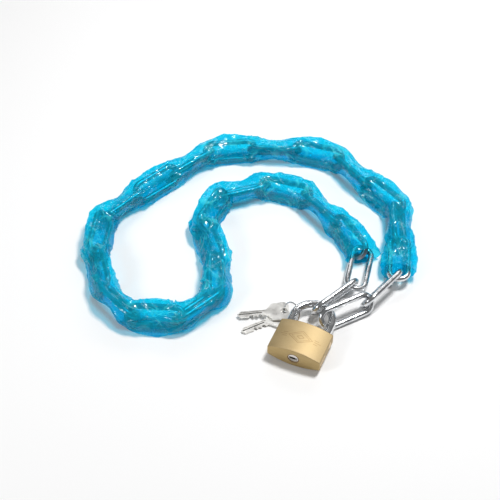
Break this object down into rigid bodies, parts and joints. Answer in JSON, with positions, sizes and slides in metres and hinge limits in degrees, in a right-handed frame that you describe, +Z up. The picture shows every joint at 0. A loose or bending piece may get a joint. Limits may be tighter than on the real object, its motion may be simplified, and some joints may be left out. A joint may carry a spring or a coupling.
{
  "type": "chain lock",
  "caption": "Welded long-link chain in a soft blue vinyl sleeve, its two end links held on the shackle of a closed brass padlock with keys on a wire ring.",
  "frame": {"origin": "centre of the object's bounding box in plan, on the floor it lies on", "axes": "+Z up from the floor, +X along the longest extent of the laid-out loop, with the padlock on the -Y side"},
  "size_m": [0.2582, 0.2368, 0.0179],
  "materials": {
    "sleeve": "soft translucent blue vinyl tube, glossy and puckered",
    "brass": "satin, brushed faces",
    "shackle_steel": "hard plated bright steel",
    "steel": "plain ground steel",
    "spring_steel": "bright drawn wire",
    "zinc_link": "bright zinc plated, welded",
    "key_nickel": "nickel plated, milled"
  },
  "bodies": {
    "lock_body": {"lock_body": "brass", "side_plugs": "brass", "driver_pins": "brass", "pin_springs": "spring_steel", "heel_pin": "steel", "plug_pin": "steel", "latch_spring": "spring_steel", "shackle_spring": "spring_steel"},
    "plug": {"plug": "brass", "key_pins": "brass", "cam": "brass"},
    "latch": {"latch": "brass"},
    "shackle": {"shackle": "shackle_steel"},
    "key_ring": {"key_ring": "spring_steel"},
    "key_1": {"key_1": "key_nickel"},
    "key_2": {"key_2": "key_nickel"},
    "link_01": {"link_01": "zinc_link"},
    "link_02": {"link_02": "zinc_link"},
    "link_03": {"link_03": "zinc_link"},
    "link_04": {"link_04": "zinc_link"},
    "link_05": {"link_05": "zinc_link"},
    "link_06": {"link_06": "zinc_link"},
    "link_07": {"link_07": "zinc_link"},
    "link_08": {"link_08": "zinc_link"},
    "link_09": {"link_09": "zinc_link"},
    "link_10": {"link_10": "zinc_link"},
    "link_11": {"link_11": "zinc_link"},
    "link_12": {"link_12": "zinc_link"},
    "link_13": {"link_13": "zinc_link", "sleeve": "sleeve"},
    "link_14": {"link_14": "zinc_link"},
    "link_15": {"link_15": "zinc_link"},
    "link_16": {"link_16": "zinc_link"},
    "link_17": {"link_17": "zinc_link"},
    "link_18": {"link_18": "zinc_link"},
    "link_19": {"link_19": "zinc_link"},
    "link_20": {"link_20": "zinc_link"},
    "link_21": {"link_21": "zinc_link"},
    "link_22": {"link_22": "zinc_link"},
    "link_23": {"link_23": "zinc_link"},
    "link_24": {"link_24": "zinc_link"},
    "link_25": {"link_25": "zinc_link"},
    "link_26": {"link_26": "zinc_link"}
  },
  "joints": [
    {"name": "plug_turn", "type": "hinge", "parent": "lock_body", "child": "plug", "pos_m": [0.03419, -0.10349, 0.0082], "axis": [0.3907, 0.9205, 0], "range_deg": [0, 90]},
    {"name": "latch_slide", "type": "slide", "parent": "lock_body", "child": "latch", "axis": [-0.9205, 0.3907, 0], "range_m": [0, 0.0024], "deforming": ["latch_spring"]},
    {"name": "shackle_lift", "type": "slide", "parent": "lock_body", "child": "shackle", "axis": [0.3907, 0.9205, 0], "range_m": [0, 0.006], "deforming": ["shackle_spring", "sleeve"]},
    {"name": "ring_swing", "type": "hinge", "parent": "shackle", "child": "key_ring", "pos_m": [0.03061, -0.07481, 0.0082], "axis": [0.3907, 0.9205, 0], "range_deg": [0, 60]},
    {"name": "key_1_flap", "type": "hinge", "parent": "key_ring", "child": "key_1", "pos_m": [0.02574, -0.06417, 0.00408], "axis": [-0.0361, 0.6135, 0.7888], "range_deg": [0, 9]},
    {"name": "key_2_fan", "type": "hinge", "parent": "key_ring", "child": "key_2", "pos_m": [0.02583, -0.06637, 0.0022], "axis": [-0.0316, -0.0147, 0.9994], "range_deg": [-10, 0]},
    {"name": "link_01_turn", "type": "hinge", "parent": "shackle", "child": "link_01", "pos_m": [0.0607, -0.07319, 0.0082], "axis": [-0.5446, 0.8387, 0], "range_deg": [-16, 4], "deforming": ["sleeve"]},
    {"name": "link_02_turn", "type": "hinge", "parent": "link_01", "child": "link_02", "pos_m": [0.08753, -0.05974, 0.00873], "axis": [0.9965, 0.0821, 0.0156], "range_deg": [-4, 10], "deforming": ["sleeve"]},
    {"name": "link_03_turn", "type": "hinge", "parent": "link_02", "child": "link_03", "pos_m": [0.11259, -0.03345, 0.00883], "axis": [-0.8964, -0.4431, -0.0097], "range_deg": [-8, 4], "deforming": ["sleeve"]},
    {"name": "link_04_turn", "type": "hinge", "parent": "link_03", "child": "link_04", "pos_m": [0.11664, 0.00209, 0.00847], "axis": [0.6973, 0.7167, 0.003], "range_deg": [-8, 8], "deforming": ["sleeve"]},
    {"name": "link_05_turn", "type": "hinge", "parent": "link_04", "child": "link_05", "pos_m": [0.11947, 0.03828, 0.0084], "axis": [-0.546, -0.8378, -0.0016], "range_deg": [-6, 16], "deforming": ["sleeve"]},
    {"name": "link_06_turn", "type": "hinge", "parent": "link_05", "child": "link_06", "pos_m": [0.09566, 0.06583, 0.0084], "axis": [0.3103, 0.9506, 0.0015], "range_deg": [-16, 6], "deforming": ["sleeve"]},
    {"name": "link_07_turn", "type": "hinge", "parent": "link_06", "child": "link_07", "pos_m": [0.0747, 0.09612, 0.0084], "axis": [-0.1308, -0.9914, -0.0012], "range_deg": [-6, 8], "deforming": ["sleeve"]},
    {"name": "link_08_turn", "type": "hinge", "parent": "link_07", "child": "link_08", "pos_m": [0.03948, 0.10687, 0.0084], "axis": [-0.0841, 0.9965, 0.0012], "range_deg": [-16, 8], "deforming": ["sleeve"]},
    {"name": "link_09_turn", "type": "hinge", "parent": "link_08", "child": "link_09", "pos_m": [0.0025, 0.10783, 0.0084], "axis": [0.2882, -0.9576, -0.0011], "range_deg": [-10, 14], "deforming": ["sleeve"]},
    {"name": "link_10_turn", "type": "hinge", "parent": "link_09", "child": "link_10", "pos_m": [-0.0342, 0.10436, 0.0084], "axis": [-0.4663, 0.8846, 0.0011], "range_deg": [-12, 12], "deforming": ["sleeve"]},
    {"name": "link_11_turn", "type": "hinge", "parent": "link_10", "child": "link_11", "pos_m": [-0.06144, 0.07953, 0.0084], "axis": [0.6299, -0.7767, -0.0011], "range_deg": [-16, 16], "deforming": ["sleeve"]},
    {"name": "link_12_turn", "type": "hinge", "parent": "link_11", "child": "link_12", "pos_m": [-0.0891, 0.05496, 0.0084], "axis": [-0.7724, 0.6351, 0.0011], "range_deg": [-16, 16], "deforming": ["sleeve"]},
    {"name": "link_13_turn", "type": "hinge", "parent": "link_12", "child": "link_13", "pos_m": [-0.11517, 0.02893, 0.0084], "axis": [0.8794, -0.4761, -0.001], "range_deg": [-8, 16], "deforming": ["sleeve"]},
    {"name": "link_14_turn", "type": "hinge", "parent": "link_13", "child": "link_14", "pos_m": [-0.11879, -0.00755, 0.0084], "axis": [-0.9528, 0.3036, 0.0011], "range_deg": [-16, 16], "deforming": ["sleeve"]},
    {"name": "link_15_turn", "type": "hinge", "parent": "link_14", "child": "link_15", "pos_m": [-0.10974, -0.04337, 0.0084], "axis": [0.9932, -0.1163, -0.0012], "range_deg": [-10, 12], "deforming": ["sleeve"]},
    {"name": "link_16_turn", "type": "hinge", "parent": "link_15", "child": "link_16", "pos_m": [-0.08666, -0.07196, 0.0084], "axis": [-0.9977, -0.0671, 0.0014], "range_deg": [-2, 16], "deforming": ["sleeve"]},
    {"name": "link_17_turn", "type": "hinge", "parent": "link_16", "child": "link_17", "pos_m": [-0.05072, -0.0747, 0.0084], "axis": [0.9933, 0.1158, -0.0019], "range_deg": [-10, 10], "deforming": ["sleeve"]},
    {"name": "link_18_turn", "type": "hinge", "parent": "link_17", "child": "link_18", "pos_m": [-0.02392, -0.05021, 0.0084], "axis": [-0.9877, 0.1565, 0.0025], "range_deg": [-6, 10], "deforming": ["sleeve"]},
    {"name": "link_19_turn", "type": "hinge", "parent": "link_18", "child": "link_19", "pos_m": [-0.02468, -0.01397, 0.0084], "axis": [0.8504, -0.5262, -0.0022], "range_deg": [-16, 16], "deforming": ["sleeve"]},
    {"name": "link_20_turn", "type": "hinge", "parent": "link_19", "child": "link_20", "pos_m": [-0.03752, 0.02066, 0.0084], "axis": [-0.7392, 0.6735, 0.0016], "range_deg": [-16, 6], "deforming": ["sleeve"]},
    {"name": "link_21_turn", "type": "hinge", "parent": "link_20", "child": "link_21", "pos_m": [-0.02241, 0.05366, 0.0084], "axis": [0.5483, -0.8363, -0.0014], "range_deg": [-2, 16], "deforming": ["sleeve"]},
    {"name": "link_22_turn", "type": "hinge", "parent": "link_21", "child": "link_22", "pos_m": [0.01199, 0.06481, 0.0084], "axis": [-0.3118, 0.9501, 0.0015], "range_deg": [-16, 10], "deforming": ["sleeve"]},
    {"name": "link_23_turn", "type": "hinge", "parent": "link_22", "child": "link_23", "pos_m": [0.04689, 0.05327, 0.0084], "axis": [0.0593, -0.9982, -0.0017], "range_deg": [-8, 16], "deforming": ["sleeve"]},
    {"name": "link_24_turn", "type": "hinge", "parent": "link_23", "child": "link_24", "pos_m": [0.06859, 0.02385, 0.00839], "axis": [0.169, 0.9856, 0.0022], "range_deg": [-12, 6], "deforming": ["sleeve"]},
    {"name": "link_25_turn", "type": "hinge", "parent": "link_24", "child": "link_25", "pos_m": [0.08769, -0.00849, 0.0085], "axis": [-0.5317, -0.8469, -0.0047], "range_deg": [-6, 12], "deforming": ["sleeve"]},
    {"name": "link_26_turn", "type": "hinge", "parent": "link_25", "child": "link_26", "pos_m": [0.07903, -0.04316, 0.00916], "axis": [0.7932, 0.6082, 0.0301], "range_deg": [-16, 8], "deforming": ["sleeve"]}
  ],
  "couplings": [
    {"joint": "plug_turn", "follows": "shackle_lift", "rad_per_m": 261.79},
    {"joint": "latch_slide", "follows": "shackle_lift", "ratio": 0.3999}
  ]
}
